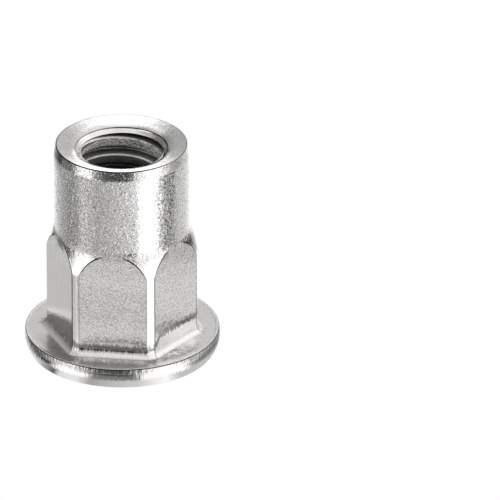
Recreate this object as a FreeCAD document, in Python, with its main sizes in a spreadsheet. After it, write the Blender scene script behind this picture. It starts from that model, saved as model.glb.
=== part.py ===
"""Half-hexagon rivet nut with a flat head: one cold-formed piece of steel.

The nut stands on its head. Its origin is the centre of the head's outer face,
+Z runs along the axis to the threaded end, and lengths are millimetres.
"""
import FreeCAD, Part
import os
import Sketcher

NODE = "rivet_nut"

# Driving dimensions, one cell each.
DIMENSIONS = [
    ("overall_length", 15.0, "head face to the end of the shank"),
    ("head_diameter", 13.0, "widest circle of the head"),
    ("head_thickness", 1.45, "head face to the bearing face"),
    ("rim_radius", 1.75, "radius of the barrel curve of the head's rim"),
    ("rim_widest_height", 1.05, "height of the rim's widest circle over the head face"),
    ("body_across_flats", 9.0, "outer hexagon, flat to flat"),
    ("body_corner_diameter", 10.08, "circle that rounds the outer hexagon's corners"),
    ("body_corner_height", 7.2, "head face to the top of the straight corners"),
    ("foot_radius", 0.5, "concave round between hexagon and head"),
    ("shank_diameter", 8.95, "round threaded end"),
    ("shank_base_height", 8.9, "head face to the crease under the round shank"),
    ("shoulder_radius", 5.8, "convex curve of the shoulder between corners and shank"),
    ("lead_height", 0.65, "length of the tapered lead at the shank's end"),
    ("end_edge_diameter", 8.7, "crisp edge round the end face"),
    ("dish_depth", 0.35, "how far the end face is dished"),
    ("countersink_diameter", 6.15, "circle where the dish turns into the countersink"),
    ("thread_bore_diameter", 5.34, "bore at the crests of the thread"),
    ("socket_across_flats", 7.6, "inner hexagon, flat to flat"),
    ("socket_corner_diameter", 8.6, "circle that rounds the inner hexagon's corners"),
    ("socket_depth", 7.6, "head face to the end of the inner hexagon's straight corners"),
    ("socket_nose_angle", 60.0, "angle between the axis and the cone at the socket's end"),
    ("socket_mouth_chamfer", 0.12, "bevel round the socket's mouth"),
]

# Room that a cutting outline leaves round the piece it trims.
TRIM_MARGIN = 2.0
# How far the socket's cutting body starts under the head face.
PUNCH_START = 1.0
# Points this near to each other are the same point, and edges this near to a height lie on it.
SAME_POINT = 1e-6
SAME_HEIGHT = 1e-4
# Room past a corner circle when its edges are looked up.
CIRCLE_ROOM = 1e-3

# A constraint names a point of an edge by its place in this row.
EDGE_POINTS = ("whole edge", "start", "end", "centre")
START = EDGE_POINTS.index("start")
END = EDGE_POINTS.index("end")
CENTRE = EDGE_POINTS.index("centre")
# A constraint counts a sketch's own axes backwards from minus one.
SKETCH_AXES = ("across", "up")
X_AXIS = -1 - SKETCH_AXES.index("across")
Y_AXIS = -1 - SKETCH_AXES.index("up")
ORIGIN = (X_AXIS, START)


def make_sheet(doc):
    """The spreadsheet of driving dimensions: name, value and meaning in each row."""
    sheet = doc.addObject("Spreadsheet::Sheet", "Dimensions")
    for row, (name, value, meaning) in enumerate(DIMENSIONS, start=1):
        sheet.set("A%d" % row, name)
        sheet.set("B%d" % row, str(value))
        sheet.set("C%d" % row, meaning)
        sheet.setAlias("B%d" % row, name)
    doc.recompute()
    return sheet


def size(sheet, name):
    """The value of a driving dimension, for the first guess of a sketch's points."""
    return float(getattr(sheet, name))


def new_sketch(body, name, plane_role):
    """An empty sketch on one of the body's own origin planes."""
    sketch = body.newObject("Sketcher::SketchObject", name)
    plane = [f for f in body.Origin.OriginFeatures if f.Role == plane_role][0]
    sketch.AttachmentSupport = (plane, [""])
    sketch.MapMode = "FlatFace"
    return sketch


def bind(sketch, kind, references, value, name, expression):
    """Add a named constraint and drive it from the sheet."""
    index = sketch.addConstraint(Sketcher.Constraint(kind, *references, value))
    sketch.renameConstraint(index, name)
    sketch.setExpression("Constraints." + name, expression)


def place(sketch, point, guess, name, across=None, up=None):
    """Hold a point at a distance across and up from the sketch's origin."""
    if across is not None:
        bind(sketch, "DistanceX", (*ORIGIN, *point), guess[0], name + "_across", across)
    if up is not None:
        bind(sketch, "DistanceY", (*ORIGIN, *point), guess[1], name + "_up", up)


def add_line(sketch, start, end):
    """A straight edge between two first guesses of its ends."""
    first = FreeCAD.Vector(start[0], start[1], 0)
    last = FreeCAD.Vector(end[0], end[1], 0)
    return sketch.addGeometry(Part.LineSegment(first, last), False)


def add_arc(sketch, start, middle, end):
    """A round edge through three first guesses."""
    points = [FreeCAD.Vector(x, y, 0) for x, y in (start, middle, end)]
    return sketch.addGeometry(Part.Arc(*points), False)


def join(sketch, edges):
    """Join each edge's end to the next edge's start, all the way round.

    Each entry is an edge with the ends that the outline enters and leaves it by.
    """
    for (edge, _, leave), (following, enter, _) in zip(edges, edges[1:] + edges[:1]):
        sketch.addConstraint(Sketcher.Constraint("Coincident", edge, leave, following, enter))


def arc_ends(sketch, arc, start):
    """The arc's end numbers in the order of the outline, whichever way it was stored."""
    first = sketch.getPoint(arc, START)
    if first.distanceToPoint(FreeCAD.Vector(start[0], start[1], 0)) < SAME_POINT:
        return START, END
    return END, START


def outside_profile(body, sheet):
    """Half section of the turned blank: head, body, shoulder, shank, dish and bore."""
    sketch = new_sketch(body, "OutsideProfile", "XZ_Plane")
    bore = size(sheet, "thread_bore_diameter") / 2
    widest = size(sheet, "head_diameter") / 2
    rim = size(sheet, "rim_radius")
    rim_middle = (widest - rim, size(sheet, "rim_widest_height"))
    thickness = size(sheet, "head_thickness")
    face_edge = (rim_middle[0] + (rim ** 2 - rim_middle[1] ** 2) ** 0.5, 0.0)
    back_rise = thickness - rim_middle[1]
    back_edge = (rim_middle[0] + (rim ** 2 - back_rise ** 2) ** 0.5, thickness)
    corner = size(sheet, "body_corner_diameter") / 2
    corner_top = (corner, size(sheet, "body_corner_height"))
    shank = size(sheet, "shank_diameter") / 2
    shank_base = (shank, size(sheet, "shank_base_height"))
    length = size(sheet, "overall_length")
    lead_start = (shank, length - size(sheet, "lead_height"))
    end_edge = (size(sheet, "end_edge_diameter") / 2, length)
    sink_radius = size(sheet, "countersink_diameter") / 2
    sink = (sink_radius, length - size(sheet, "dish_depth"))
    bore_top = (bore, sink[1] - (sink_radius - bore))
    shoulder = size(sheet, "shoulder_radius")
    chord = FreeCAD.Vector(shank_base[0] - corner_top[0], shank_base[1] - corner_top[1], 0)
    bulge = shoulder - (shoulder ** 2 - chord.Length ** 2 / 4) ** 0.5
    shoulder_middle = ((corner_top[0] + shank_base[0]) / 2 + bulge * chord.y / chord.Length,
                       (corner_top[1] + shank_base[1]) / 2 - bulge * chord.x / chord.Length)

    face = add_line(sketch, (bore, 0.0), face_edge)
    rim_arc = add_arc(sketch, face_edge, (widest, rim_middle[1]), back_edge)
    bearing = add_line(sketch, back_edge, (corner, thickness))
    corner_line = add_line(sketch, (corner, thickness), corner_top)
    shoulder_arc = add_arc(sketch, corner_top, shoulder_middle, shank_base)
    shank_line = add_line(sketch, shank_base, lead_start)
    lead = add_line(sketch, lead_start, end_edge)
    dish = add_line(sketch, end_edge, sink)
    countersink = add_line(sketch, sink, bore_top)
    bore_line = add_line(sketch, bore_top, (bore, 0.0))
    rim_ends = arc_ends(sketch, rim_arc, face_edge)
    shoulder_ends = arc_ends(sketch, shoulder_arc, corner_top)
    join(sketch, [
        (face, START, END),
        (rim_arc, *rim_ends),
        (bearing, START, END),
        (corner_line, START, END),
        (shoulder_arc, *shoulder_ends),
        (shank_line, START, END),
        (lead, START, END),
        (dish, START, END),
        (countersink, START, END),
        (bore_line, START, END),
    ])

    sketch.addConstraint(Sketcher.Constraint("Horizontal", face))
    sketch.addConstraint(Sketcher.Constraint("Horizontal", bearing))
    sketch.addConstraint(Sketcher.Constraint("Vertical", corner_line))
    sketch.addConstraint(Sketcher.Constraint("Vertical", shank_line))
    sketch.addConstraint(Sketcher.Constraint("Vertical", bore_line))
    sketch.addConstraint(Sketcher.Constraint("PointOnObject", face, START, X_AXIS))
    place(sketch, (face, START), (bore, 0.0), "bore", across="Dimensions.thread_bore_diameter / 2")
    place(sketch, (rim_arc, CENTRE), rim_middle, "rim_middle",
          across="Dimensions.head_diameter / 2 - Dimensions.rim_radius",
          up="Dimensions.rim_widest_height")
    bind(sketch, "Radius", (rim_arc,), rim, "rim_curve", "Dimensions.rim_radius")
    place(sketch, (bearing, END), (corner, thickness), "foot",
          across="Dimensions.body_corner_diameter / 2", up="Dimensions.head_thickness")
    place(sketch, (corner_line, END), corner_top, "corner_top", up="Dimensions.body_corner_height")
    place(sketch, (shank_line, START), shank_base, "shank_base",
          across="Dimensions.shank_diameter / 2", up="Dimensions.shank_base_height")
    bind(sketch, "Radius", (shoulder_arc,), shoulder, "shoulder_curve", "Dimensions.shoulder_radius")
    place(sketch, (lead, START), lead_start, "lead_start",
          up="Dimensions.overall_length - Dimensions.lead_height")
    place(sketch, (lead, END), end_edge, "end_edge",
          across="Dimensions.end_edge_diameter / 2", up="Dimensions.overall_length")
    place(sketch, (dish, END), sink, "sink", across="Dimensions.countersink_diameter / 2",
          up="Dimensions.overall_length - Dimensions.dish_depth")
    place(sketch, (countersink, END), bore_top, "bore_top",
          up="Dimensions.overall_length - Dimensions.dish_depth"
             " - (Dimensions.countersink_diameter - Dimensions.thread_bore_diameter) / 2")
    return sketch


def punch_profile(body, sheet):
    """Half section of the socket's cutting body: a round bar with a conical nose."""
    sketch = new_sketch(body, "PunchProfile", "XZ_Plane")
    radius = size(sheet, "socket_corner_diameter") / 2
    depth = size(sheet, "socket_depth")
    bottom = add_line(sketch, (0.0, -PUNCH_START), (radius, -PUNCH_START))
    side = add_line(sketch, (radius, -PUNCH_START), (radius, depth))
    nose = add_line(sketch, (radius, depth), (0.0, depth + radius / 2))
    axis = add_line(sketch, (0.0, depth + radius / 2), (0.0, -PUNCH_START))
    join(sketch, [(bottom, START, END), (side, START, END), (nose, START, END), (axis, START, END)])
    sketch.addConstraint(Sketcher.Constraint("Horizontal", bottom))
    sketch.addConstraint(Sketcher.Constraint("Vertical", side))
    sketch.addConstraint(Sketcher.Constraint("PointOnObject", bottom, START, Y_AXIS))
    sketch.addConstraint(Sketcher.Constraint("PointOnObject", nose, END, Y_AXIS))
    sketch.addConstraint(
        Sketcher.Constraint("DistanceY", bottom, START, *ORIGIN, PUNCH_START))
    place(sketch, (side, END), (radius, depth), "bar_top",
          across="Dimensions.socket_corner_diameter / 2", up="Dimensions.socket_depth")
    bind(sketch, "Angle", (axis, START, nose, END), 1.0, "nose_angle", "Dimensions.socket_nose_angle")
    return sketch


def revolve(body, sketch, name):
    """Turn a half section once round the vertical axis."""
    turned = body.newObject("PartDesign::Revolution", name)
    turned.Profile = sketch
    turned.ReferenceAxis = (sketch, ["V_Axis"])
    turned.Angle = 360.0
    sketch.Visibility = False
    return turned


def hexagon_trim(body, sheet, name, across_flats, outer_guess, floor, height):
    """Cut away what lies outside a hexagon whose first flat faces -Y.

    The sketch holds the hexagon and a circle well outside the piece, and the
    ring between the two is cut upwards from the floor over the given height.
    """
    sketch = new_sketch(body, name + "Outline", "XY_Plane")
    sketch.setExpression("AttachmentOffset.Base.z", floor)
    corner = size(sheet, across_flats) / 3 ** 0.5
    half = corner / 2
    flat = size(sheet, across_flats) / 2
    points = [(-half, -flat), (half, -flat), (corner, 0), (half, flat), (-half, flat), (-corner, 0)]
    sides = [add_line(sketch, a, b) for a, b in zip(points, points[1:] + points[:1])]
    join(sketch, [(side, START, END) for side in sides])
    middle = FreeCAD.Vector(0, 0, 0)
    up = FreeCAD.Vector(0, 0, 1)
    corner_circle = sketch.addGeometry(Part.Circle(middle, up, corner), True)
    sketch.addConstraint(Sketcher.Constraint("Coincident", corner_circle, CENTRE, *ORIGIN))
    for side in sides:
        sketch.addConstraint(Sketcher.Constraint("PointOnObject", side, START, corner_circle))
    for side in sides[1:]:
        sketch.addConstraint(Sketcher.Constraint("Equal", sides[0], side))
    sketch.addConstraint(Sketcher.Constraint("Horizontal", sides[0]))
    bind(sketch, "Radius", (corner_circle,), corner, "corner_circle",
         "Dimensions.%s / sqrt(3)" % across_flats)
    around = sketch.addGeometry(Part.Circle(middle, up, outer_guess), False)
    sketch.addConstraint(Sketcher.Constraint("Coincident", around, CENTRE, *ORIGIN))
    bind(sketch, "Radius", (around,), outer_guess, "around",
         "Dimensions.head_diameter / 2 + %g" % TRIM_MARGIN)
    trim = body.newObject("PartDesign::Pocket", name)
    trim.Profile = sketch
    trim.Type = "Length"
    trim.Reversed = True
    trim.setExpression("Length", height)
    sketch.Visibility = False
    return trim


def edges_at_height(shape, height, largest_radius):
    """Names of the edges that lie flat at a height, inside a radius and off the bore."""
    names = []
    for number, edge in enumerate(shape.Edges, start=1):
        heights = [vertex.Point.z for vertex in edge.Vertexes]
        reach = [(v.Point.x ** 2 + v.Point.y ** 2) ** 0.5 for v in edge.Vertexes]
        if max(abs(z - height) for z in heights) < SAME_HEIGHT and max(reach) < largest_radius:
            names.append("Edge%d" % number)
    return names


def make_punch(doc, sheet):
    """The body whose shape is the socket: a hexagonal bar with a turned conical nose."""
    body = doc.addObject("PartDesign::Body", "SocketPunch")
    revolve(body, punch_profile(body, sheet), "PunchBar")
    doc.recompute()
    hexagon_trim(body, sheet, "PunchFlats", "socket_across_flats",
                 size(sheet, "head_diameter") / 2 + TRIM_MARGIN,
                 "0 mm - %g mm" % (2 * PUNCH_START),
                 "%g + Dimensions.overall_length" % (2 * PUNCH_START))
    doc.recompute()
    return body


def make_nut(doc, sheet, punch):
    """The rivet nut: turned outside, hexagon flats, foot round, socket and its bevel."""
    body = doc.addObject("PartDesign::Body", "RivetNut")
    body.Label = NODE
    revolve(body, outside_profile(body, sheet), "Outside")
    doc.recompute()
    flats = hexagon_trim(body, sheet, "BodyFlats", "body_across_flats",
                         size(sheet, "head_diameter") / 2 + TRIM_MARGIN,
                         "Dimensions.head_thickness",
                         "Dimensions.shank_base_height - Dimensions.head_thickness")
    doc.recompute()
    foot_circle = size(sheet, "body_corner_diameter") / 2 + CIRCLE_ROOM
    foot = body.newObject("PartDesign::Fillet", "FootRound")
    foot.Base = (flats, edges_at_height(flats.Shape, size(sheet, "head_thickness"), foot_circle))
    foot.setExpression("Radius", "Dimensions.foot_radius")
    doc.recompute()
    socket = body.newObject("PartDesign::Boolean", "Socket")
    socket.Type = "Cut"
    socket.setObjects([punch])
    doc.recompute()
    mouth_circle = size(sheet, "socket_corner_diameter") / 2 + CIRCLE_ROOM
    mouth = body.newObject("PartDesign::Chamfer", "MouthBevel")
    mouth.Base = (socket, edges_at_height(socket.Shape, 0.0, mouth_circle))
    mouth.setExpression("Size", "Dimensions.socket_mouth_chamfer")
    body.Tip = mouth
    doc.recompute()
    return body


def check(doc, piece):
    """Stop if any feature failed or the finished piece isn't one valid solid."""
    for item in doc.Objects:
        if "Invalid" in item.State or "Error" in item.State:
            raise RuntimeError("%s failed: %s" % (item.Name, item.State))
    shape = piece.Shape
    if shape.isNull() or not shape.isValid() or len(shape.Solids) != 1:
        raise RuntimeError("%s isn't one valid solid" % piece.Label)


def main():
    """Build the document, check it and write the piece."""
    doc = FreeCAD.newDocument("RivetNut")
    sheet = make_sheet(doc)
    punch = make_punch(doc, sheet)
    nut = make_nut(doc, sheet, punch)
    check(doc, nut)
    os.makedirs("parts", exist_ok=True)
    nut.Shape.exportStep("parts/%s.step" % nut.Label)
    box = nut.Shape.optimalBoundingBox()
    print("%s: %.2f x %.2f x %.2f mm, %.1f mm3"
          % (nut.Label, box.XLength, box.YLength, box.ZLength, nut.Shape.Volume))


main()
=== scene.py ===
"""Bright satin steel rivet nut standing on its head, threaded end up.

The nut is one closed skin, worked out as rows of points round its axis. Lengths
are millimetres until the mesh is made, which is in metres.
"""
import math

import bpy
import numpy as np
from mathutils import Matrix, Vector


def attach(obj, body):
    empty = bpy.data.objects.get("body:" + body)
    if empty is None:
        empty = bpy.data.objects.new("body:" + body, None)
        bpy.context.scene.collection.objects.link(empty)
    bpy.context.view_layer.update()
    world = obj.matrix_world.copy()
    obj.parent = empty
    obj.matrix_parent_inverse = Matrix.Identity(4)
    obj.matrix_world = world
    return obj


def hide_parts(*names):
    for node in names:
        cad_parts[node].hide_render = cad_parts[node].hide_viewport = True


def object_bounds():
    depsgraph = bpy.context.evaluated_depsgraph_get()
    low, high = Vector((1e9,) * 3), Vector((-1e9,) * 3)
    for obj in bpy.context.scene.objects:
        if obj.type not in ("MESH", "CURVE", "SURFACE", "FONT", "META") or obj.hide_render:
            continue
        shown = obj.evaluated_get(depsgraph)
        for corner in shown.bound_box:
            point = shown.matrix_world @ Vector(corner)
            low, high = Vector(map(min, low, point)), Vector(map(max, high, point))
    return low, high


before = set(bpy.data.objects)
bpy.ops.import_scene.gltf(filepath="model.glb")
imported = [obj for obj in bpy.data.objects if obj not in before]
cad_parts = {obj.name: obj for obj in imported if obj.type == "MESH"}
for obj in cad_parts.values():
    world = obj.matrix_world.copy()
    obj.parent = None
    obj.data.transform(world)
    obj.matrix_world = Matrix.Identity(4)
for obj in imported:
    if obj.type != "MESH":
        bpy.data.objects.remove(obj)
cad_low, cad_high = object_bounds()

MM = 0.001

# The piece's sizes. The overall ones come from the frame.
LENGTH = (cad_high[2] - cad_low[2]) / MM
HEAD_RADIUS = (cad_high[0] - cad_low[0]) / 2 / MM
HEAD_THICKNESS = 1.45
RIM_RADIUS = 1.75
RIM_WIDEST = 1.05
BODY_FLAT = 4.5
BODY_CORNER = 5.04
BODY_CORNER_TOP = 7.2
FOOT_RADIUS = 0.5
SHANK_RADIUS = 4.475
SHANK_BASE = 8.9
SHOULDER_RADIUS = 5.8
LEAD_HEIGHT = 0.65
END_EDGE = 4.35
DISH_DEPTH = 0.35
DISH_TURN_RADIUS = 3.4
DISH_TURN_DEPTH = 0.2
SINK_RADIUS = 3.075
SINK_STEP = 0.06
SINK_STEP_LEAN = 0.01
SINK_LOW_RADIUS = 2.8
LEDGE = 0.02
CREST_RADIUS = 2.67
ROOT_RADIUS = 3.16
PITCH = 1.27
ROOT_FLAT = 0.1
FLANK_ANGLE = math.radians(30)
# Where the groove starts, as a share of a turn.
THREAD_TURN = 0.754
SOCKET_FLAT = 3.8
SOCKET_CORNER = 4.3
SOCKET_DEPTH = 7.6
SOCKET_MOUTH = 0.12
NOSE_SLOPE = math.tan(math.radians(60))
BURR_WIDTH = 0.16
BURR_HEIGHT = 0.022

# The threaded wall runs between two heights: on the socket's cone, just outside the roots, and
# under the countersink's ledge.
THREAD_LOW = SOCKET_DEPTH + (SOCKET_CORNER - ROOT_RADIUS - 0.08) / NOSE_SLOPE
SINK_LOW = LENGTH - DISH_DEPTH - (SINK_RADIUS - SINK_LOW_RADIUS)
THREAD_HIGH = SINK_LOW - LEDGE

# How far each rounded edge reaches to either side.
HEAD_ROUND = 0.03
BURR_FOOT_ROUND = 0.04
CREASE_ROUND = 0.05
BASE_ROUND = 0.25
LEAD_ROUND = 0.1
END_ROUND = 0.055
DISH_ROUND = 0.25
SINK_ROUND = 0.02
LEDGE_ROUND = 0.01
CORNER_SOFTNESS = 0.02
THREAD_SOFTNESS = 0.05
# The most that the shoulder gives up to the crease's round.
CREASE_ROOM = 0.06
# How near an edge the next row lies.
GUARD = 0.02

# The grid.
HALF_SECTOR_COLUMNS = 28
ROWS_PER_PITCH = 24
# The columns' density grows by this much beside a corner, round an angle and over a width.
CLOSER = 3.0
CLOSER_AT = math.radians(3.0)
CLOSER_WIDTH = math.radians(1.6)
# Points that lie nearer than this are one, and edges that turn by more than this stay sharp.
SAME_POINT = 1e-5
SHARP_ANGLE = math.radians(50)

# How dark the painted shade line along an edge is, from nothing to one.
EDGE_SHADE = 1.0
STRIP_SHADE = 0.95
FRONT_STRIP_SHARE = 0.4
FRONT_STRIP_ANGLE = math.radians(28.5)
STRIP_WIDTH = math.radians(0.45)
LEAD_SHADE = 0.95
# The azimuths in degrees of the front flat, and where the painted shade lines round the end are darkest.
FRONT = 270
LEAD_DARKEST = 197
END_DARKEST = 235
SINK_DARKEST = 40

# The finish: its colours, with painted light for the front flat and painted shade for edges, hollows and
# dark patches, how far the relief stands out in metres, and its base roughness.
GREY_STEEL = (0.62, 0.61, 0.597, 1)
PALE_STEEL = (0.98, 0.97, 0.953, 1)
PAINTED_LIT_FRONT = (0.99, 0.972, 0.93, 1)
PAINTED_EDGE_COLOUR = (0.015, 0.015, 0.015, 1)
SHADE = (0.05, 0.048, 0.045, 1)
PAINTED_SHADE_GREY = (0.2, 0.2, 0.2, 1)
WHITE = (1, 1, 1, 1)
RELIEF = 0.04 * MM
ROUGHNESS = 0.13


def column_angles():
    """Angles round the axis, closer together beside each rounded corner of the hexagon.

    Inside a twelfth of the turn the spacing is the inverse of a density of one
    plus a bell centred on the corner's edge.
    """
    offset = np.linspace(0.0, math.pi / 6, 2000)
    density = 1 + CLOSER * np.exp(-((offset - CLOSER_AT) / CLOSER_WIDTH) ** 2)
    share = np.concatenate([[0.0], np.cumsum((density[1:] + density[:-1]) / 2)])
    half = np.interp(np.arange(HALF_SECTOR_COLUMNS) / HALF_SECTOR_COLUMNS, share / share[-1], offset)
    other_half = math.pi / 3 - np.append(half[1:], math.pi / 6)[::-1]
    sector = np.concatenate([half, other_half])
    return np.concatenate([sector + turn * math.pi / 3 for turn in range(6)])


ANGLES = column_angles()


def soft_min(a, b, softness):
    """The smaller of two fields, rounded where they cross.

    Their mean less half the root of the gap and the softness, both squared and added.
    """
    return (a + b - np.sqrt((a - b) ** 2 + softness ** 2)) / 2


def soft_max(a, b, softness):
    """The larger of two fields, rounded where they cross: their mean plus the same half root."""
    return (a + b + np.sqrt((a - b) ** 2 + softness ** 2)) / 2


def passage(value, low, high):
    """Zero below low, one above high and straight between them."""
    return np.clip((value - low) / (high - low), 0, 1)


def facing(azimuth):
    """How far each column faces an azimuth in degrees: the cosine of the angle between them."""
    return np.cos(ANGLES - math.radians(azimuth))


def hexagon_radius(flat, corner):
    """Distance from the axis to a hexagon with rounded corners, in each column.

    The flat's distance over the cosine of the angle from its middle, held inside
    the corner circle.
    """
    from_middle = np.mod(ANGLES, math.pi / 3) - math.pi / 6
    return soft_min(flat / np.cos(from_middle), np.full_like(ANGLES, corner), CORNER_SOFTNESS)


def point(radius, height):
    """One profile point in every column: an array of radius and height."""
    radius = np.broadcast_to(np.asarray(radius, float), ANGLES.shape)
    height = np.broadcast_to(np.asarray(height, float), ANGLES.shape)
    return np.stack([radius, height], axis=-1)


def towards(start, end, reach):
    """The point at a distance from start on the way to end."""
    way = end - start
    return start + way / np.linalg.norm(way, axis=-1, keepdims=True) * reach


def run(start, end, steps):
    """Rows evenly spaced from start to end, the end left out."""
    share = np.arange(steps)[:, None, None] / steps
    return start + (end - start) * share


def guarded_run(start, end, steps):
    """Rows between two edges, both left out, with one near each so that an edge's line stays narrow."""
    first = towards(start, end, GUARD)
    last = towards(end, start, GUARD)
    return np.concatenate([run(first, last, steps), last[None]])


def soft_corner(before, corner, after, reach, steps=3):
    """Rows that round a corner: the quadratic curve between points a reach to either side."""
    first = towards(corner, before, reach)
    last = towards(corner, after, reach)
    share = np.arange(steps + 1)[:, None, None] / steps
    return (1 - share) ** 2 * first + 2 * share * (1 - share) * corner + share ** 2 * last


def arc(middle, radius, start_angle, end_angle, steps):
    """Rows along a circle in the profile plane, both ends kept; angles may differ by column."""
    share = np.arange(steps + 1)[:, None] / steps
    angle = start_angle + (end_angle - start_angle) * share
    return middle + np.stack([radius * np.cos(angle), radius * np.sin(angle)], axis=-1)


def shoulder_centre():
    """Radius and height of the middle of the shoulder's curve.

    From the middle of the straight way between the curve's ends, at a right angle
    inwards by the height of the triangle whose sloping sides are the curve's radius.
    """
    across = SHANK_RADIUS - BODY_CORNER
    up = SHANK_BASE - BODY_CORNER_TOP
    span = math.hypot(across, up)
    drop = math.sqrt(SHOULDER_RADIUS ** 2 - span ** 2 / 4)
    radius = (BODY_CORNER + SHANK_RADIUS) / 2 - drop * up / span
    height = (BODY_CORNER_TOP + SHANK_BASE) / 2 + drop * across / span
    return radius, height


def strip_shade_lines():
    """Painted shade lines at the sides of the round corners: a bell of darkness across each, fainter in
    front.
    """
    from_middle = np.abs(np.mod(ANGLES, math.pi / 3) - math.pi / 6)
    gap = (from_middle - math.acos(BODY_FLAT / BODY_CORNER)) / STRIP_WIDTH
    on_front = facing(FRONT) > math.cos(FRONT_STRIP_ANGLE)
    return STRIP_SHADE * np.exp(-gap ** 2) * np.where(on_front, FRONT_STRIP_SHARE, 1)


def head_rows(foot_start):
    """Rows from the socket's mouth over the face, the barrel rim and the burr to the foot's first row.

    The rim is a circle in the profile plane, cut off where it meets the face and
    the back. Every edge is rounded.
    """
    socket = hexagon_radius(SOCKET_FLAT, SOCKET_CORNER)
    wall = point(socket, SOCKET_DEPTH)
    mouth_in = point(socket, SOCKET_MOUTH)
    mouth_out = point(socket + SOCKET_MOUTH, 0)
    rim_middle = point(HEAD_RADIUS - RIM_RADIUS, RIM_WIDEST)
    face_angle = np.full_like(ANGLES, -math.asin(RIM_WIDEST / RIM_RADIUS))
    back_angle = np.full_like(ANGLES, math.asin((HEAD_THICKNESS - RIM_WIDEST) / RIM_RADIUS))
    trim = HEAD_ROUND / RIM_RADIUS
    rim = arc(rim_middle, RIM_RADIUS, face_angle + trim, back_angle - trim, steps=14)
    rim[-2] = towards(rim[-1], rim[-2], GUARD)
    face_edge = point(HEAD_RADIUS - RIM_RADIUS + RIM_RADIUS * np.cos(face_angle), 0)
    back_edge = point(HEAD_RADIUS - RIM_RADIUS + RIM_RADIUS * np.cos(back_angle), HEAD_THICKNESS)
    burr_top = point(back_edge[:, 0] - BURR_WIDTH / 3, HEAD_THICKNESS + BURR_HEIGHT)
    burr_start = point(back_edge[:, 0] - BURR_WIDTH, HEAD_THICKNESS)

    mouth_low = soft_corner(wall, mouth_in, mouth_out, HEAD_ROUND)
    mouth_high = soft_corner(mouth_in, mouth_out, face_edge, HEAD_ROUND)
    face_round = soft_corner(mouth_out, face_edge, rim[0], HEAD_ROUND)
    back_round = soft_corner(rim[-1], back_edge, burr_top, HEAD_ROUND, steps=4)
    burr_round = soft_corner(back_edge, burr_top, burr_start, HEAD_ROUND)
    burr_foot = soft_corner(burr_top, burr_start, foot_start, BURR_FOOT_ROUND)
    return [
        (mouth_low, 0),
        (mouth_high, 0),
        (run(mouth_high[-1], face_round[0], 5)[1:], 0),
        (face_round, 0),
        (rim[1:-1], 0),
        (back_round, EDGE_SHADE),
        (burr_round, 0),
        (burr_foot, 0),
        (run(burr_foot[-1], foot_start, 4)[1:], 0),
    ]


def foot_rows(body):
    """Rows of the concave round between head and body: a quarter of a circle in each column."""
    middle = point(body + FOOT_RADIUS, HEAD_THICKNESS + FOOT_RADIUS)
    down = np.full_like(ANGLES, -math.pi / 2)
    return arc(middle, FOOT_RADIUS, down, 2 * down, steps=7)


def body_rows(body, foot):
    """Rows from the foot up the flats and round corners, and over the shoulder to the shank.

    The shoulder is a circle in the profile plane. In each column it starts where
    it meets the hexagon, so the crease between them arches over each flat.
    """
    middle_radius, middle_height = shoulder_centre()
    start_angle = np.arccos(np.clip((body - middle_radius) / SHOULDER_RADIUS, -1, 1))
    end_angle = math.asin((SHANK_BASE - middle_height) / SHOULDER_RADIUS)
    span = end_angle - start_angle
    crease_room = np.clip(span / 4, 0, CREASE_ROOM / SHOULDER_RADIUS)
    base_room = np.clip(span / 2, 0, BASE_ROUND / SHOULDER_RADIUS)
    middle = point(middle_radius, middle_height)
    shoulder = arc(middle, SHOULDER_RADIUS, start_angle + crease_room, end_angle - base_room, steps=10)
    crease = point(body, middle_height + SHOULDER_RADIUS * np.sin(start_angle))
    base = point(SHANK_RADIUS, SHANK_BASE)
    above_base = point(SHANK_RADIUS, LENGTH)

    crease_round = soft_corner(foot[-1], crease, shoulder[0], CREASE_ROUND, steps=5)
    base_reach = base_room[:, None] * SHOULDER_RADIUS
    base_round = soft_corner(shoulder[-1], base, above_base, base_reach, steps=5)
    # Painted shade lines along the sides of the round corners and along the crease.
    side = strip_shade_lines()
    # The painted shade line along the crease fades out where the shoulder is short and at the corners.
    crease_shade = EDGE_SHADE * passage(span / end_angle, 0.05, 0.12) * passage(BODY_CORNER - body, 0, 0.05)
    return [
        (foot, side / 2),
        (guarded_run(foot[-1], crease_round[0], 7), side),
        (crease_round, np.maximum(crease_shade, side)),
        (shoulder, 0),
        (base_round, 0),
    ]


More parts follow.
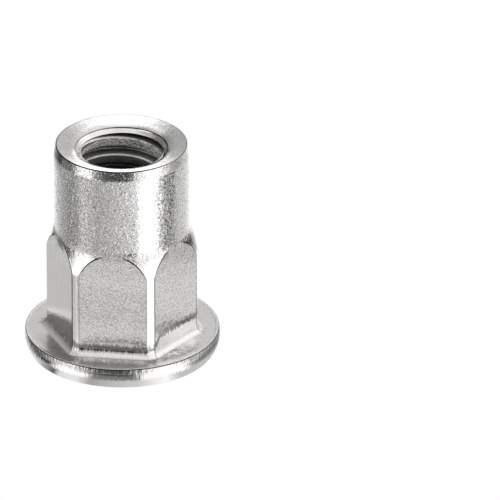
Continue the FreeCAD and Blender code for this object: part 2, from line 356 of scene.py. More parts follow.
def end_rows(shank_start):
    """Rows up the round shank, over the lead and the dished end face, and down the countersink.

    All are straight in the profile, with every edge rounded. The painted shade line along the
    end's edge is darkest at one side and fades with the cosine to the other.
    """
    base = point(SHANK_RADIUS, SHANK_BASE)
    lead_start = point(SHANK_RADIUS, LENGTH - LEAD_HEIGHT)
    end_edge = point(END_EDGE, LENGTH)
    dish_turn = point(DISH_TURN_RADIUS, LENGTH - DISH_TURN_DEPTH)
    sink = point(SINK_RADIUS, LENGTH - DISH_DEPTH)
    sink_step = point(SINK_RADIUS - SINK_STEP_LEAN, LENGTH - DISH_DEPTH - SINK_STEP)
    sink_low = point(SINK_LOW_RADIUS, SINK_LOW)
    ledge = point(SINK_LOW_RADIUS, THREAD_HIGH)

    lead_round = soft_corner(base, lead_start, end_edge, LEAD_ROUND, steps=4)
    end_round = soft_corner(lead_start, end_edge, dish_turn, END_ROUND, steps=5)
    dish_round = soft_corner(end_edge, dish_turn, sink, DISH_ROUND, steps=5)
    sink_round = soft_corner(dish_round[-1], sink, sink_step, SINK_ROUND)
    ledge_round = soft_corner(sink_step, sink_low, ledge, LEDGE_ROUND, steps=2)
    # Painted shade lines along the lead, the end's edge and the countersink.
    lead_side = LEAD_SHADE * passage(facing(LEAD_DARKEST), 0.93, 0.96)
    end_side = EDGE_SHADE * np.clip(0.6 + 0.8 * facing(END_DARKEST), 0.6, 1)
    sink_side = EDGE_SHADE * np.clip(0.7 + 0.6 * facing(SINK_DARKEST), 0.35, 1)
    return [
        (run(shank_start, lead_round[0], 6)[1:], 0),
        (lead_round, lead_side / 2),
        (guarded_run(lead_round[-1], end_round[0], 2), lead_side),
        (end_round, end_side),
        (guarded_run(end_round[-1], dish_round[0], 2), 0),
        (dish_round[:-1], 0),
        (guarded_run(dish_round[-2], sink_round[0], 1), 0),
        (sink_round, sink_side),
        (run(sink_round[-1], sink_step, 3)[1:], sink_side),
        (run(sink_step, ledge_round[0], 3), 0),
        (ledge_round, 0),
    ]


def socket_rows():
    """Rows from the bore's lower end down the cone and the socket's walls to its mouth."""
    socket = hexagon_radius(SOCKET_FLAT, SOCKET_CORNER)
    start = point(nose_radius(THREAD_LOW), THREAD_LOW)
    meeting = point(socket, SOCKET_DEPTH + (SOCKET_CORNER - socket) / NOSE_SLOPE)
    mouth_in = point(socket, SOCKET_MOUTH)
    turn = soft_corner(start, meeting, mouth_in, CREASE_ROUND, steps=4)
    walls = run(turn[-1], towards(mouth_in, turn[-1], HEAD_ROUND), 8)[1:]
    return [(run(start, turn[0], 5)[1:], 0), (turn, 0), (walls, 0)]


def profile_blocks():
    """All plain rows in order, as blocks of rows with the painted edge shade of each."""
    body = hexagon_radius(BODY_FLAT, BODY_CORNER)
    foot = foot_rows(body)
    blocks = socket_rows() + head_rows(foot[0]) + body_rows(body, foot)
    shank_start = blocks[-1][0][-1]
    return blocks + end_rows(shank_start)


def nose_radius(height):
    """Radius of the cone at the socket's deep end."""
    return SOCKET_CORNER - (height - SOCKET_DEPTH) * NOSE_SLOPE


def thread_radius(angle, height):
    """Wall of the threaded bore.

    The distance along the pitch from the groove's middle, which climbs with the
    angle as a right-hand helix, sets a 60 degree groove with a flat root, cut
    into the crest cylinder. The socket's cone is cut over its lower end, and its
    upper end stops under the countersink's ledge.
    """
    turns = (height - LENGTH) / PITCH - angle / (2 * math.pi) - THREAD_TURN
    from_middle = np.abs(np.mod(turns, 1.0) - 0.5) * PITCH
    groove = ROOT_RADIUS - np.clip(from_middle - ROOT_FLAT / 2, 0, None) / math.tan(FLANK_ANGLE)
    wall = soft_max(groove, np.full_like(groove, CREST_RADIUS), THREAD_SOFTNESS)
    return np.maximum(wall, nose_radius(height))


def thread_grid():
    """The threaded wall as columns by rows, each row climbing with the helix.

    Rows past either end are held at the end's height, where the plain rows start
    and stop on the same wall, so the welded skin closes there.
    """
    rows = int(round((THREAD_HIGH - THREAD_LOW) / PITCH * ROWS_PER_PITCH)) + ROWS_PER_PITCH + 2
    start = THREAD_LOW - PITCH
    angle = ANGLES[:, None]
    height = start + np.arange(rows)[None, :] * PITCH / ROWS_PER_PITCH + PITCH * angle / (2 * math.pi)
    height = np.clip(height, THREAD_LOW, THREAD_HIGH)
    radius = thread_radius(np.broadcast_to(angle, height.shape), height)
    return radius, height


def in_space(angle, radius, height):
    """Points in metres from angle, radius and height in millimetres."""
    return np.stack([radius * np.cos(angle), radius * np.sin(angle), height], axis=-1) * MM


def grid_faces(first, rows, wrap_shift):
    """Quads between neighbouring columns of a grid; the last column meets the first with a row shift."""
    columns = len(ANGLES)
    index = first + np.arange(columns * rows).reshape(columns, rows)
    following = np.roll(index, -1, axis=0)
    shifted = np.minimum(np.arange(rows) + wrap_shift, rows - 1)
    following[-1] = index[0, shifted]
    quads = np.stack([index[:, :-1], following[:, :-1], following[:, 1:], index[:, 1:]], axis=-1)
    return quads.reshape(-1, 4)


def nut_skin():
    """Vertices, their painted edge shade and the triangles of the whole closed skin, welded where rows
    meet.
    """
    blocks = profile_blocks()
    low_ring = point(nose_radius(THREAD_LOW), THREAD_LOW)[None]
    high_ring = point(thread_radius(ANGLES, np.full_like(ANGLES, THREAD_HIGH)), THREAD_HIGH)[None]
    blocks = [(low_ring, 0), *blocks, (high_ring, 0)]
    plain = np.swapaxes(np.concatenate([rows for rows, row_shade in blocks]), 0, 1)
    shade_values = np.concatenate([np.broadcast_to(row_shade, rows.shape[:2]) for rows, row_shade in blocks])
    angle = np.broadcast_to(ANGLES[:, None], plain.shape[:2])
    plain_points = in_space(angle, plain[..., 0], plain[..., 1]).reshape(-1, 3)
    radius, height = thread_grid()
    angle = np.broadcast_to(ANGLES[:, None], radius.shape)
    thread_points = in_space(angle, radius, height).reshape(-1, 3)
    points = np.concatenate([plain_points, thread_points])
    shade_values = np.concatenate([np.swapaxes(shade_values, 0, 1).ravel(), np.zeros(len(thread_points))])
    outer = grid_faces(0, plain.shape[1], 0)
    inner = grid_faces(len(plain_points), radius.shape[1], ROWS_PER_PITCH)[:, ::-1]
    return weld(points, shade_values, np.concatenate([outer, inner]))


def weld(points, shade_values, quads):
    """Merge points that coincide, and drop the faces that this flattens."""
    keys = np.round(points / (MM * SAME_POINT)).astype(np.int64)
    _, kept, owner = np.unique(keys, axis=0, return_index=True, return_inverse=True)
    quads = owner.reshape(-1)[quads]
    triangles = np.concatenate([quads[:, [0, 1, 2]], quads[:, [0, 2, 3]]])
    a, b, c = triangles.T
    whole = (a != b) & (b != c) & (a != c)
    return points[kept], shade_values[kept], triangles[whole]


def make_piece(name, points, triangles):
    """A mesh object at the origin from arrays of points and triangles."""
    mesh = bpy.data.meshes.new(name)
    mesh.vertices.add(len(points))
    mesh.vertices.foreach_set("co", points.astype(np.float32).ravel())
    mesh.loops.add(len(triangles) * 3)
    mesh.loops.foreach_set("vertex_index", triangles.astype(np.int32).ravel())
    mesh.polygons.add(len(triangles))
    mesh.polygons.foreach_set("loop_start", np.arange(len(triangles), dtype=np.int32) * 3)
    mesh.polygons.foreach_set("loop_total", np.full(len(triangles), 3, dtype=np.int32))
    mesh.update(calc_edges=True)
    mesh.validate()
    mesh.polygons.foreach_set("use_smooth", np.ones(len(mesh.polygons), dtype=bool))
    mesh.set_sharp_from_angle(angle=SHARP_ANGLE)
    piece = bpy.data.objects.new(name, mesh)
    bpy.context.scene.collection.objects.link(piece)
    return piece


class Sockets:
    """A shader socket that takes part in Python arithmetic by adding Math nodes."""

    def __init__(self, tree, socket):
        self.tree = tree
        self.socket = socket

    @staticmethod
    def plain(value):
        """The shader's own socket, or the number or colour given instead."""
        return value.socket if isinstance(value, Sockets) else value

    def node(self, kind, settings=None, inputs=None, output=0):
        """Add any other node: its settings first, then its sockets' values or links."""
        added = self.tree.nodes.new(kind)
        for key, value in (settings or {}).items():
            if key == "stops":
                Sockets.set_stops(added.color_ramp, value)
            else:
                setattr(added, key, value)
        for key, value in (inputs or {}).items():
            value = Sockets.plain(value)
            if isinstance(value, bpy.types.NodeSocket):
                self.tree.links.new(value, added.inputs[key])
            else:
                added.inputs[key].default_value = value
        return Sockets(self.tree, added.outputs[output])

    @staticmethod
    def set_stops(ramp, stops):
        """Grey stops of a colour ramp, given as positions and brightnesses."""
        while len(ramp.elements) < len(stops):
            ramp.elements.new(1.0)
        for element, (position, brightness) in zip(ramp.elements, stops):
            element.position = position
            element.color = (brightness, brightness, brightness, 1)

    def maths(self, operation, *values):
        """A Math node of one operation on this tree."""
        return self.node("ShaderNodeMath", {"operation": operation}, dict(enumerate(values)))

    def __add__(self, other):
        return self.maths("ADD", self, other)

    __radd__ = __add__

    def __sub__(self, other):
        return self.maths("SUBTRACT", self, other)

    def __rsub__(self, other):
        return self.maths("SUBTRACT", other, self)

    def __mul__(self, other):
        return self.maths("MULTIPLY", self, other)

    __rmul__ = __mul__

    def __truediv__(self, other):
        return self.maths("DIVIDE", self, other)

    def __pow__(self, other):
        return self.maths("POWER", self, other)

    def most(self, *others):
        """The largest of this field and the others."""
        largest = self
        for other in others:
            largest = self.maths("MAXIMUM", largest, other)
        return largest

    def between(self, low, high):
        """Zero below low, one above high, with a soft passage."""
        settings = {"interpolation_type": "SMOOTHSTEP"}
        inputs = {"Value": self, "From Min": low, "From Max": high, "To Min": 0.0, "To Max": 1.0}
        return self.node("ShaderNodeMapRange", settings, inputs)

    def rise(self, low, high):
        """Zero below one length and one above another, both in millimetres."""
        return self.between(low * MM, high * MM)

    def fall(self, low, high):
        """One below a length and zero above another, both in millimetres."""
        return 1 - self.rise(low, high)

    def blend(self, first, second):
        """A colour between two, this socket being the share of the second."""
        settings = {"data_type": "RGBA", "blend_type": "MIX"}
        return self.node("ShaderNodeMix", settings, {0: self, 6: first, 7: second}, output=2)

    def fade(self, first, second):
        """A number between two, this socket being the share of the second."""
        return first + (second - first) * self


def fine_noise(start, coordinates, scale, detail, roughness, distortion=0.0):
    """A noise field at a scale per metre, from zero to one."""
    inputs = {"Vector": coordinates, "Scale": scale, "Detail": detail, "Roughness": roughness,
              "Distortion": distortion}
    return start.node("ShaderNodeTexNoise", {}, inputs)


def split(start, vector):
    """The three parts of a vector as sockets."""
    parts = start.node("ShaderNodeSeparateXYZ", {}, {0: vector}).socket.node
    return [Sockets(start.tree, parts.outputs[i]) for i in range(3)]


class Grains:
    """The noises of the finish, from the finest speckle to wide clouds."""

    def __init__(self, start, coordinates):
        self.speckle = fine_noise(start, coordinates, 12500.0, 1.0, 0.6).between(0.32, 0.68)
        self.sand = fine_noise(start, coordinates, 6200.0, 0.0, 0.5, 0.4).between(0.48, 0.68)
        self.mottle = fine_noise(start, coordinates, 1600.0, 2.0, 0.5)
        self.patches = fine_noise(start, coordinates, 1500.0, 4.0, 0.75)
        self.cloud = fine_noise(start, coordinates, 350.0, 2.0, 0.5)
        upright = start.node("ShaderNodeMapping", {}, {"Vector": coordinates, "Scale": (1, 1, 0.2)})
        self.ticks = fine_noise(start, upright, 6000.0, 2.0, 0.6)


class Regions:
    """Where the finish changes: each field is one inside its region and zero outside.

    A region is a product of passages in the distance from the axis, the height over
    the face, the distance to the right, or the distance out towards a flat.
    """

    def __init__(self, start, coordinates, ticks):
        across, along, up = split(start, coordinates)
        out = (across * across + along * along) ** 0.5
        facing_left = across * -math.sin(math.pi / 3) - along * 0.5
        facing_right = across * math.sin(math.pi / 3) - along * 0.5
        farthest = facing_left.most(facing_right, along * -1.0)
        flank = facing_left.rise(BODY_FLAT - 0.05, BODY_FLAT - 0.01)
        lead_top = LENGTH - LEAD_HEIGHT + 0.05
        lead_foot = LENGTH - LEAD_HEIGHT - 0.05

        # The body: flats, corners and the middle of the front flat; the front flat and the corners carry
        # painted light.
        self.left_flat = flank * up.fall(SHANK_BASE - 1.9, SHANK_BASE - 0.5)
        self.low = up.fall(HEAD_THICKNESS + 1.15, HEAD_THICKNESS + 2.75) * (1 - flank)
        front = along.fall(0.03 - BODY_FLAT, 0.2 - BODY_FLAT)
        front = front * up.rise(HEAD_THICKNESS + 0.25, HEAD_THICKNESS + 0.55)
        self.front = front * up.fall(SHANK_BASE - 2.1, SHANK_BASE - 0.3)
        self.middle = up.rise(3.4, 4.4) * up.fall(5.8, 6.8)
        corners = farthest.fall(BODY_FLAT - 0.07, BODY_FLAT - 0.02)
        corners = corners * up.fall(SHANK_BASE - 1.0, SHANK_BASE - 0.3)
        corners = corners * up.rise(HEAD_THICKNESS + 0.25, HEAD_THICKNESS + 0.65)
        self.corners = corners * out.rise(BODY_FLAT - 0.2, BODY_FLAT - 0.1)

        # The head and the round at the foot of the body.
        self.head = up.fall(HEAD_THICKNESS - 0.05, HEAD_THICKNESS + 0.07)
        self.foot = up.fall(HEAD_THICKNESS + 0.45, HEAD_THICKNESS + 0.95)
        self.over_back = up.rise(HEAD_THICKNESS + 0.01, HEAD_THICKNESS + 0.05)
        self.rim = self.head * out.rise(HEAD_RADIUS - 0.3, HEAD_RADIUS - 0.2)
        burr = up.rise(HEAD_THICKNESS + 0.002, HEAD_THICKNESS + 0.006)
        burr = burr * out.rise(HEAD_RADIUS - 0.3, HEAD_RADIUS - 0.25)
        self.burr = burr * along.fall(-3.0, -1.0)
        back = up.rise(HEAD_THICKNESS - 0.02, HEAD_THICKNESS - 0.01)
        back = back * up.fall(HEAD_THICKNESS + 0.005, HEAD_THICKNESS + 0.05)
        self.back = back * out.fall(HEAD_RADIUS - 0.8, HEAD_RADIUS - 0.3) * along.fall(-3.4, -1.5)
        self.right = across.rise(1.8, 2.8)
        ragged = up + ticks * (0.8 * MM) - across.rise(2.7, 3.1) * (0.75 * MM)
        bend = (ragged - ticks * (0.3 * MM)).fall(HEAD_THICKNESS + 0.5, HEAD_THICKNESS + 0.7)
        self.bend = bend * (1 - self.head)
        # A ragged band above the foot's round, where shade is painted.
        foot_shade = ragged.rise(HEAD_THICKNESS + 0.75, HEAD_THICKNESS + 0.9)
        self.foot_shade = foot_shade * ragged.fall(HEAD_THICKNESS + 1.1, HEAD_THICKNESS + 1.35) * (1 - flank)

        # The round shank, its bands of painted shade and highlight from left to right, and its two ends.
        self.shank = up.rise(SHANK_BASE - 0.5, SHANK_BASE + 0.3) * up.fall(lead_foot, lead_top)
        # Painted shade in the dull band and the pitted_shade_band, a painted highlight in the
        # smooth_highlight_band.
        self.dull = across.rise(-2.2, -1.6) * across.fall(0.3, 1.5) * self.shank
        self.smooth_highlight_band = across.rise(1.5, 2.0) * across.fall(2.4, 3.0) * self.shank
        self.pitted_shade_band = across.rise(2.7, 3.3) * across.fall(3.7, 4.1) * self.shank
        self.lead = up.rise(lead_foot, lead_top) * out.rise(END_EDGE - 0.05, END_EDGE - 0.01)
        self.end_face = up.rise(LENGTH - 0.4, LENGTH - 0.38) * out.fall(END_EDGE - 0.05, END_EDGE - 0.01)
        seam = up.rise(SHANK_BASE - 0.6, SHANK_BASE - 0.3) * up.fall(SHANK_BASE + 0.05, SHANK_BASE + 0.25)
        seam = seam * out.fall(SHANK_RADIUS + 0.055, SHANK_RADIUS + 0.105)
        self.seam = seam * across.fall(0.2, 1.5)
        # Nooks by the shoulder, where shade is painted.
        right_nook = across.rise(3.9, 4.2) * facing_right.fall(BODY_FLAT - 0.06, BODY_FLAT - 0.02)
        right_nook = right_nook * up.rise(SHANK_BASE - 1.6, SHANK_BASE - 1.5)
        right_nook = right_nook * up.fall(SHANK_BASE - 0.6, SHANK_BASE - 0.2)
        left_nook = across.rise(-4.1, -3.9) * across.fall(-3.6, -3.3)
        left_nook = left_nook * up.rise(SHANK_BASE - 0.75, SHANK_BASE - 0.6)
        left_nook = left_nook * up.fall(SHANK_BASE - 0.2, SHANK_BASE + 0.1)
        self.nooks = right_nook + left_nook

        # The threaded bore.
        self.inside = out.fall(ROOT_RADIUS - 0.06, ROOT_RADIUS + 0.09)
        self.bore = self.inside * up.fall(LENGTH - 0.8, LENGTH - 0.72)
        self.deep = self.inside * up.fall(LENGTH - 3.0, LENGTH - 2.3)
        groove = out.rise(CREST_RADIUS + 0.02, CREST_RADIUS + 0.13) * self.inside
        self.groove = groove * up.fall(THREAD_HIGH - 0.015, THREAD_HIGH + 0.005)
        self.first_groove = self.groove * up.rise(LENGTH - 1.1, LENGTH - 1.0) * across.rise(-2.4, -0.6)
        crest = out.fall(CREST_RADIUS + 0.03, CREST_RADIUS + 0.09) * up.fall(LENGTH - 1.04, LENGTH - 0.96)
        self.crest = crest * up.rise(LENGTH - 1.8, LENGTH - 1.6)
        self.crest_right = across.rise(-0.6, 0.6)


def sandiness(where):
    """How much of the sandy grain each region keeps: less where it is smooth, more in the
    pitted_shade_band.
    """
    share = (1 - 0.45 * where.low) * (1 - 0.9 * where.left_flat) * (1 - 0.75 * where.head)
    share = share * (1 - 0.85 * where.corners) * (1 - 0.6 * where.smooth_highlight_band) * (1 + 0.5 * where.pitted_shade_band)
    share = share * (1 - 0.4 * where.lead) * (1 - 0.5 * where.end_face)
    return share * (1 - 0.8 * where.inside * (1 - where.crest))


def steel_colour(start, where, grains, sandy):
    """Steel between grey and pale by a tone that is partly random and partly painted light and shade,
    then painted shade on edges, in the bore and in dark patches.
    """
    tone = grains.cloud * 0.25 + grains.mottle * 0.25 * (1 + 0.6 * where.front) + 0.25
    # Painted light: the front flat is paler, less so in its middle, and the round corners are paler as a
    # painted highlight.
    tone = tone + where.front * (0.32 - 0.34 * where.middle) + where.corners * 0.4
    # Painted highlight and shade: the shank's bands, and the bore's crests paler as painted light.
    tone = tone + where.smooth_highlight_band * 0.2 - where.dull * 0.45 - where.pitted_shade_band * 0.2 + where.crest * 0.3
    # Painted highlight: the foot's round above the head's back is paler.
    tone = tone + (grains.speckle - 0.5) * sandy * 1.9 + where.bend * where.over_back * 0.5
    # Painted light: the front flat blends to a paler, warmer steel.
    colour = tone.blend(GREY_STEEL, where.front.blend(PALE_STEEL, PAINTED_LIT_FRONT))

    # Painted shade: dark lines along the edges, the crease and the sides of the round corners.
    edges = start.node("ShaderNodeAttribute", {"attribute_name": "arris"}, output=2)
    colour = edges.blend(colour, PAINTED_EDGE_COLOUR)
    colour = (where.groove * 0.66 + where.first_groove * 0.29).blend(colour, SHADE)
    colour = (where.deep * 0.7).blend(colour, SHADE)

    # Painted shade: mottled darkening on the front of the head's back face, stronger at the right.
    bearing_shade = where.back * grains.patches.between(0.3, 0.6) * (0.35 + 0.55 * where.right)
    # Painted shade: a ragged, speckled dark band above the foot's round.
    foot_shade = where.foot_shade * (0.55 + 0.4 * grains.speckle)
    # Painted shade: dark patches on the bore's crests, stronger at the right.
    crest = where.crest * (0.15 + 0.6 * where.crest_right) * (1 - grains.patches.between(0.35, 0.6))
    # Painted shade in the nooks by the shoulder, and dark speckles in the pitted_shade_band.
    nooks = where.nooks * (0.75 + 0.25 * grains.sand) + where.pitted_shade_band * grains.sand * 0.8
    return bearing_shade.most(foot_shade, crest, nooks).blend(colour, PAINTED_SHADE_GREY)


def steel_roughness(where, grains, sandy):
    """A base value, a little more with the sand and the mottle, and much more where it reflects dully."""
    dull = where.bore.most(where.bend, where.burr, where.seam)
    rough = ROUGHNESS - 0.06 * (1 - sandy) + 0.04 * grains.mottle
    return rough + 0.34 * dull + 0.25 * where.crest


def steel_relief(where, grains, sandy):
    """Height of the sand, the mottle and the upright ticks, each weighted by region."""
    sand = grains.sand * sandy * (0.08 + 0.64 * where.shank + 0.2 * where.lead)
    mottle = grains.mottle * sandy * 0.6 * (1 - 0.5 * where.front)
    ticks = grains.ticks * where.foot * (1 - where.head) * 0.8
    return sand + mottle + ticks + grains.ticks * where.rim * 1.2 + grains.sand * where.crest * 1.6


def satin_steel():
    """Bright steel: sandy on the shank and the hexagon, smoother on the head and the lead."""
    material = bpy.data.materials.new("satin_steel")
    material.use_nodes = True
    tree = material.node_tree
    shader = tree.nodes["Principled BSDF"]
    start = Sockets(tree, None)
    coordinates = start.node("ShaderNodeTexCoord", output=3)
    grains = Grains(start, coordinates)
    where = Regions(start, coordinates, grains.ticks)
    sandy = sandiness(where)
    relief = {"Strength": 1.0, "Distance": RELIEF, "Height": steel_relief(where, grains, sandy)}
    fields = {
        "Base Color": steel_colour(start, where, grains, sandy),
        "Roughness": steel_roughness(where, grains, sandy),
        "Normal": start.node("ShaderNodeBump", {}, relief),
    }
    for name, field in fields.items():
        tree.links.new(field.socket, shader.inputs[name])
    shader.inputs["Metallic"].default_value = 1.0
    return material


# The studio's brightness all round, as azimuths from the camera's side, to the right,
# with a brightness at each: under the level of the nut, level with it and above.
LOW_RING = [
    (-180, 1.5), (-162, 1.4), (-150, 1.1), (-138, 0.8), (-114, 0.44), (-96, 0.34), (-82, 0.45),
    (-70, 0.95), (-56, 0.9), (-42, 0.6), (-20, 0.8), (-4, 0.9), (16, 0.95), (28, 1.2),
    (38, 2.2), (60, 2.2), (72, 0.95), (84, 0.34), (96, 0.34), (108, 0.7), (138, 0.95), (150, 1.15),
    (162, 1.4), (180, 1.5),
]
LEVEL_RING = [
    (-180, 2.4), (-173, 1.5), (-163, 0.1), (-142, 0.03), (-118, 0.04), (-98, 0.1), (-84, 0.35),
    (-74, 1.5), (-54, 1.9), (-42, 0.3), (-32, 0.16), (-6, 0.06), (10, 0.12), (20, 0.35), (30, 1.3),
    (44, 1.8), (66, 1.7), (84, 0.9), (102, 0.45), (124, 0.18), (140, 0.22), (152, 0.9), (164, 1.6),
    (180, 2.2),
]
HIGH_RING = [
    (-180, 0.84), (-168, 0.57), (-154, 0.42), (-134, 0.24), (-100, 0.26), (-88, 0.25), (-74, 1.6),
    (-56, 1.9), (-42, 0.7), (-20, 0.5), (6, 0.55), (18, 0.7), (30, 1.3), (66, 1.6), (84, 1.2),
    (96, 1.6), (122, 1.6), (146, 0.88), (168, 0.72), (180, 0.84),
]
SKY_RING = [
    (-180, 2.0), (-160, 1.5), (-145, 0.9), (-126, 0.55), (-90, 0.7), (-60, 1.2), (-30, 1.15),
    (0, 1.15), (30, 1.2), (110, 1.4), (145, 1.0), (160, 1.4), (180, 2.0),
]
ZENITH = 1.1
# Elevations in degrees over which each ring gives way to the next. The first passage lies this
# much lower ahead, up to the azimuths that follow it.
LOW_TO_LEVEL = (-17.0, -11.0)
LOWER_AHEAD = 5.0
AHEAD = (40, 60)
LEVEL_TO_HIGH = (7.0, 14.0)
HIGH_TO_SKY = (36.0, 48.0)
SKY_TO_ZENITH = (68.0, 80.0)
# The floor round the head, as the rim sees it, from its edge outwards.
FLOOR_INNER = [
    (-180, 1.2), (-90, 1.0), (-66, 0.75), (-56, 0.4), (-48, 0.12), (-43, 0.9), (-30, 1.0), (-20, 0.46),
    (-6, 0.62), (10, 0.72), (20, 1.0), (30, 1.2), (40, 0.65), (66, 0.65), (90, 0.45), (110, 0.6),
    (180, 1.2),
]
FLOOR_MIDDLE = [
    (-180, 0.9), (-102, 0.8), (-90, 0.6), (-76, 0.2), (-66, 0.05), (-56, 0.05), (-51, 0.8), (-47, 1.35),
    (-26, 1.35), (-20, 0.25), (10, 0.22), (15, 1.2), (46, 1.35), (54, 0.4), (64, 0.18), (90, 0.22),
    (102, 0.45), (118, 0.7), (180, 0.9),
]
FLOOR_OUTER = [
    (-180, 0.9), (-134, 0.8), (-101, 0.75), (-94, 0.03), (-74, 0.03), (-64, 0.4), (-56, 0.55),
    (-46, 1.35), (-33, 0.9), (-22, 0.14), (-4, 0.06), (9, 0.12), (17, 1.1), (28, 1.5), (47, 1.5),
    (60, 0.7), (76, 0.28), (100, 0.28), (116, 0.6), (180, 0.9),
]
# Distances from the axis over which each part of the floor gives way to the next.
UNDER_HEAD = (5.9, 6.2)
INNER_TO_MIDDLE = (6.7, 7.2)
MIDDLE_TO_OUTER = (7.7, 8.6)
OUTER_END = (9.45, 9.85)
# A wider patch of the floor at the right, with the azimuths that bound it.
PATCH_GLOW = 0.74
PATCH_START = (58, 78)
PATCH_END = (112, 130)
PATCH_REACH = (17, 20)
# The floor's square and its gap under the head, in metres.
FLOOR_HALF = 0.3
FLOOR_GAP = 0.00001
FLOOR_SHADE = (0.02, 0.02, 0.02, 1)


def ring(start, share, stops):
    """A value all round, from stops of azimuth and value."""
    most = max(value for azimuth, value in stops)
    placed = [(azimuth / 360 + 0.5, value / most) for azimuth, value in stops]
    return start.node("ShaderNodeValToRGB", {"stops": placed}, {0: share}) * most


def azimuth_share(start, across, along):
    """Where a direction lies round the nut: a half at the camera's side, growing to the right."""
    azimuth = start.maths("ARCTAN2", across, along * -1.0) * (180 / math.pi) - CAMERA_AZIMUTH
    return start.maths("WRAP", azimuth / 360.0 + 0.5, 1.0, 0.0)


def turned_past(share, azimuths):
    """Zero before the first azimuth and one past the second, from a share of the way round."""
    first, second = azimuths
    return share.between(first / 360, second / 360)


def studio_world():
    """White to the camera; to everything else a pale tent with bright windows and dark gaps."""
    world = bpy.data.worlds.new("studio")
    bpy.context.scene.world = world
    world.use_nodes = True
    tree = world.node_tree
    tree.nodes.clear()
    start = Sockets(tree, None)
    across, along, up = split(start, start.node("ShaderNodeTexCoord"))
    share = azimuth_share(start, across, along)
    elevation = start.maths("ARCSINE", up) * (180 / math.pi)
    ahead = 1 - turned_past(start.maths("ABSOLUTE", share - 0.5), AHEAD)
    level = (elevation + ahead * LOWER_AHEAD).between(*LOW_TO_LEVEL)
    light = level.fade(ring(start, share, LOW_RING), ring(start, share, LEVEL_RING))
    light = elevation.between(*LEVEL_TO_HIGH).fade(light, ring(start, share, HIGH_RING))
    light = elevation.between(*HIGH_TO_SKY).fade(light, ring(start, share, SKY_RING))
    light = elevation.between(*SKY_TO_ZENITH).fade(light, ZENITH)
    background = start.node("ShaderNodeBackground", {}, {"Strength": light})
    white = start.node("ShaderNodeBackground", {}, {"Color": WHITE, "Strength": 1.0})
    camera_ray = start.node("ShaderNodeLightPath")
    mixed = start.node("ShaderNodeMixShader", {}, {0: camera_ray, 1: background, 2: white})
    output = tree.nodes.new("ShaderNodeOutputWorld")
    tree.links.new(mixed.socket, output.inputs["Surface"])


def floor_finish():
    """Plain white to the camera, dark under the head, and a glow round it that only reflections see."""
    material = bpy.data.materials.new("white_floor")
    material.use_nodes = True
    tree = material.node_tree
    tree.nodes.clear()
    start = Sockets(tree, None)
    across, along, up = split(start, start.node("ShaderNodeTexCoord", output=3))
    out = (across * across + along * along) ** 0.5
    share = azimuth_share(start, across, along)
    inner = ring(start, share, FLOOR_INNER)
    glow = out.rise(*INNER_TO_MIDDLE).fade(inner, ring(start, share, FLOOR_MIDDLE))
    glow = out.rise(*MIDDLE_TO_OUTER).fade(glow, ring(start, share, FLOOR_OUTER))
    past_outer = out.rise(*OUTER_END)
    beside = turned_past(share - 0.5, PATCH_START) * (1 - turned_past(share - 0.5, PATCH_END))
    patch = beside * out.fall(*PATCH_REACH) * past_outer
    glow = past_outer.fade(glow, PATCH_GLOW)
    near = start.node("ShaderNodeEmission", {}, {"Color": WHITE, "Strength": glow})
    white = start.node("ShaderNodeEmission", {}, {"Color": WHITE, "Strength": 1.0})
    clear = start.node("ShaderNodeBsdfTransparent")
    dark = start.node("ShaderNodeBsdfDiffuse", {}, {"Color": FLOOR_SHADE})
    camera_ray = start.node("ShaderNodeLightPath")
    reflected = start.node("ShaderNodeMixShader", {}, {0: past_outer - patch, 1: near, 2: clear})
    open_floor = start.node("ShaderNodeMixShader", {}, {0: camera_ray, 1: reflected, 2: white})
    outside = out.rise(*UNDER_HEAD)
    mixed = start.node("ShaderNodeMixShader", {}, {0: outside, 1: dark, 2: open_floor})
    output = tree.nodes.new("ShaderNodeOutputMaterial")
    tree.links.new(mixed.socket, output.inputs["Surface"])
    return material


def white_floor():
    """A square floor just under the head."""
    corners = np.array([[-1, -1, 0], [1, -1, 0], [1, 1, 0], [-1, 1, 0]]) * FLOOR_HALF
    corners[:, 2] = cad_low[2] - FLOOR_GAP
    floor = make_piece("floor", corners, np.array([[0, 1, 2], [0, 2, 3]]))
    floor.data.materials.append(floor_finish())


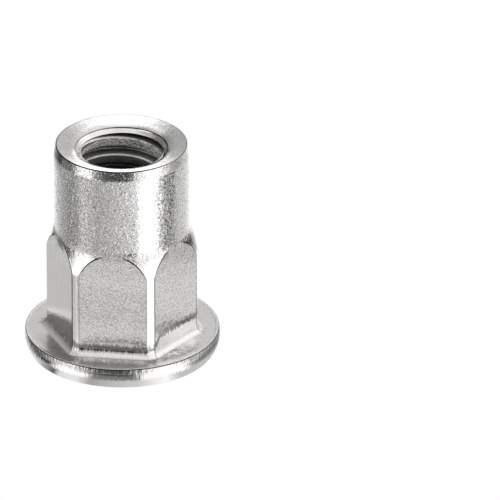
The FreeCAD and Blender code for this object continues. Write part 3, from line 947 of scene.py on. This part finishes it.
# The camera, worked out from the nut's outline in the 500 pixel wide photograph.
PICTURE = 500
CAMERA_AZIMUTH = 7.2
CAMERA_ELEVATION = 26.91
CAMERA_DISTANCE = 671.0
CAMERA_ROLL = -0.085
PIXELS_PER_MM = 14.997
ORIGIN_PIXEL = (122.45, 344.64)
# The sensor's width in millimetres, and how near and far the camera sees in metres.
SENSOR_WIDTH = 36.0
NEAREST = 0.05
FARTHEST = 5.0


def make_camera():
    """A long lens that sees the nut's origin at its pixel, with no shift."""
    turn, rise = math.radians(CAMERA_AZIMUTH), math.radians(CAMERA_ELEVATION)
    roll = math.radians(CAMERA_ROLL)
    back = Vector((math.sin(turn) * math.cos(rise), -math.cos(turn) * math.cos(rise), math.sin(rise)))
    level = Vector((math.cos(turn), math.sin(turn), 0))
    upright = back.cross(level)
    right = level * math.cos(roll) - upright * math.sin(roll)
    up = level * math.sin(roll) + upright * math.cos(roll)
    across = (ORIGIN_PIXEL[0] - PICTURE / 2) / PIXELS_PER_MM
    above = (PICTURE / 2 - ORIGIN_PIXEL[1]) / PIXELS_PER_MM
    place = (back * CAMERA_DISTANCE - right * across - up * above) * MM
    lens = bpy.data.cameras.new("camera")
    lens.sensor_width = SENSOR_WIDTH
    lens.lens = SENSOR_WIDTH * PIXELS_PER_MM * CAMERA_DISTANCE / PICTURE
    lens.clip_start = NEAREST
    lens.clip_end = FARTHEST
    camera = bpy.data.objects.new("camera", lens)
    axes = Matrix((right, up, back)).transposed()
    camera.matrix_world = Matrix.Translation(place) @ axes.to_4x4()
    bpy.context.scene.collection.objects.link(camera)
    bpy.context.scene.camera = camera


def main():
    """Build the nut, its finish, the stage and the camera."""
    points, shade_values, triangles = nut_skin()
    nut = make_piece("nut_skin", points, triangles)
    # The painted shade lines along the edges, one value for each point.
    arris = nut.data.attributes.new("arris", "FLOAT", "POINT")
    arris.data.foreach_set("value", shade_values.astype(np.float32))
    nut.data.materials.append(satin_steel())
    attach(nut, "root")
    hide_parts("rivet_nut")
    white_floor()
    studio_world()
    make_camera()
    settings = bpy.context.scene.view_settings
    settings.view_transform = "Standard"


main()
